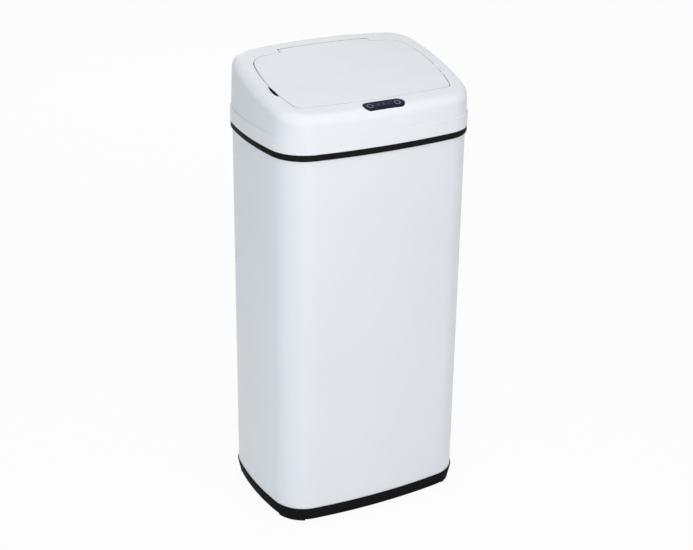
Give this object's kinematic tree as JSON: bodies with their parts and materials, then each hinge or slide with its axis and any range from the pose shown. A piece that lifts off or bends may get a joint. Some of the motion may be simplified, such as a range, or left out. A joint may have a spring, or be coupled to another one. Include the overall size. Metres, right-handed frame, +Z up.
{
  "type": "sensor waste bin",
  "caption": "Free-standing rectangular waste bin with a bowed white steel body, black base and bag ring, and a sloping lid unit whose geared flap is opened by a sensor.",
  "frame": {"origin": "on the floor, in the middle of the footprint", "axes": "+Z up, the front with the sensor window towards -Y, the hinge and the battery door towards +Y, X across the width"},
  "size_m": [0.3366, 0.2496, 0.7199],
  "materials": {
    "white_steel": "smooth white powder coat",
    "white_cover": "satin white moulding",
    "inner_black": "black inner moulding, finely grained",
    "black_plastic": "black moulding with a soft sheen",
    "rubber": "matt rubber",
    "window": "dark infrared-transparent gloss",
    "steel": "bright turned steel",
    "gear_plastic": "natural acetal",
    "brass": "drawn brass",
    "motor_can": "plated can",
    "circuit_board": "solder mask",
    "dark_parts": "component cases",
    "lamp": "clear lamp",
    "cell_wrap": "printed film sleeve, plain",
    "contact": "nickel-plated spring steel",
    "switch_red": "red rocker"
  },
  "bodies": {
    "body": {"body_shell": "white_steel", "base_tray": "black_plastic", "foot_pads": "rubber"},
    "bag_ring": {"bag_ring": "black_plastic"},
    "lid_unit": {"lid_collar": "white_cover", "lid_cover": "white_cover", "throat_frame": "inner_black", "hinge_bushes": "dark_parts", "flap_buffers": "rubber", "gear_plate_inner": "black_plastic", "gear_plate_outer": "black_plastic", "gear_axles": "steel", "motor": "motor_can", "sensor_window": "window", "sensor_board": "circuit_board", "infrared_pair": "dark_parts", "status_light": "lamp", "button_switches": "dark_parts", "battery_box": "black_plastic", "battery_cells": "cell_wrap", "battery_contacts": "contact", "switch_body": "black_plastic", "control_board": "circuit_board", "cover_screws": "steel", "gearbox_screws": "steel"},
    "flap": {"flap_cover": "white_cover", "flap_liner": "inner_black", "hinge_shaft": "steel", "sector_gear": "gear_plastic", "liner_screws": "steel"},
    "second_gear": {"second_gear": "gear_plastic"},
    "first_gear": {"first_gear": "gear_plastic"},
    "motor_pinion": {"motor_pinion": "brass"},
    "open_button": {"open_button": "window"},
    "close_button": {"close_button": "window"},
    "battery_door": {"battery_door": "white_cover"},
    "power_rocker": {"power_rocker": "switch_red"}
  },
  "joints": [
    {"name": "ring_lift", "type": "slide", "parent": "body", "child": "bag_ring", "axis": [0, 0, 1], "range_m": [0, 0.08]},
    {"name": "lid_lift", "type": "slide", "parent": "bag_ring", "child": "lid_unit", "axis": [0, 0, 1], "range_m": [0, 0.08]},
    {"name": "flap_hinge", "type": "hinge", "parent": "lid_unit", "child": "flap", "pos_m": [0, 0.084, 0.70813], "axis": [-1, 0, 0], "range_deg": [0, 76]},
    {"name": "second_gear_spin", "type": "hinge", "parent": "lid_unit", "child": "second_gear", "pos_m": [0.1206, 0.08742, 0.69538], "axis": [-1, 0, 0], "range_deg": [-133, 0]},
    {"name": "first_gear_spin", "type": "hinge", "parent": "lid_unit", "child": "first_gear", "pos_m": [0.1206, 0.08583, 0.67725], "axis": [-1, 0, 0], "range_deg": [0, 443.33]},
    {"name": "motor_pinion_spin", "type": "hinge", "parent": "lid_unit", "child": "motor_pinion", "pos_m": [0.1206, 0.08945, 0.66373], "axis": [-1, 0, 0], "range_deg": [-1625.56, 0]},
    {"name": "open_button_press", "type": "slide", "parent": "lid_unit", "child": "open_button", "axis": [0, 0, -1], "range_m": [0, 0.0006], "stiffness_N_per_m": 500},
    {"name": "close_button_press", "type": "slide", "parent": "lid_unit", "child": "close_button", "axis": [0, 0, -1], "range_m": [0, 0.0006], "stiffness_N_per_m": 500},
    {"name": "battery_door_hinge", "type": "hinge", "parent": "lid_unit", "child": "battery_door", "pos_m": [0, 0.12183, 0.6524], "axis": [-1, 0, 0], "range_deg": [0, 90]},
    {"name": "rocker_tilt", "type": "hinge", "parent": "lid_unit", "child": "power_rocker", "pos_m": [0.07987, 0.11755, 0.66895], "axis": [-0.9963, 0.0863, 0], "range_deg": [0, 16]}
  ],
  "couplings": [
    {"joint": "second_gear_spin", "follows": "flap_hinge", "ratio": -1.75},
    {"joint": "first_gear_spin", "follows": "flap_hinge", "ratio": 5.8333},
    {"joint": "motor_pinion_spin", "follows": "flap_hinge", "ratio": -21.389}
  ]
}
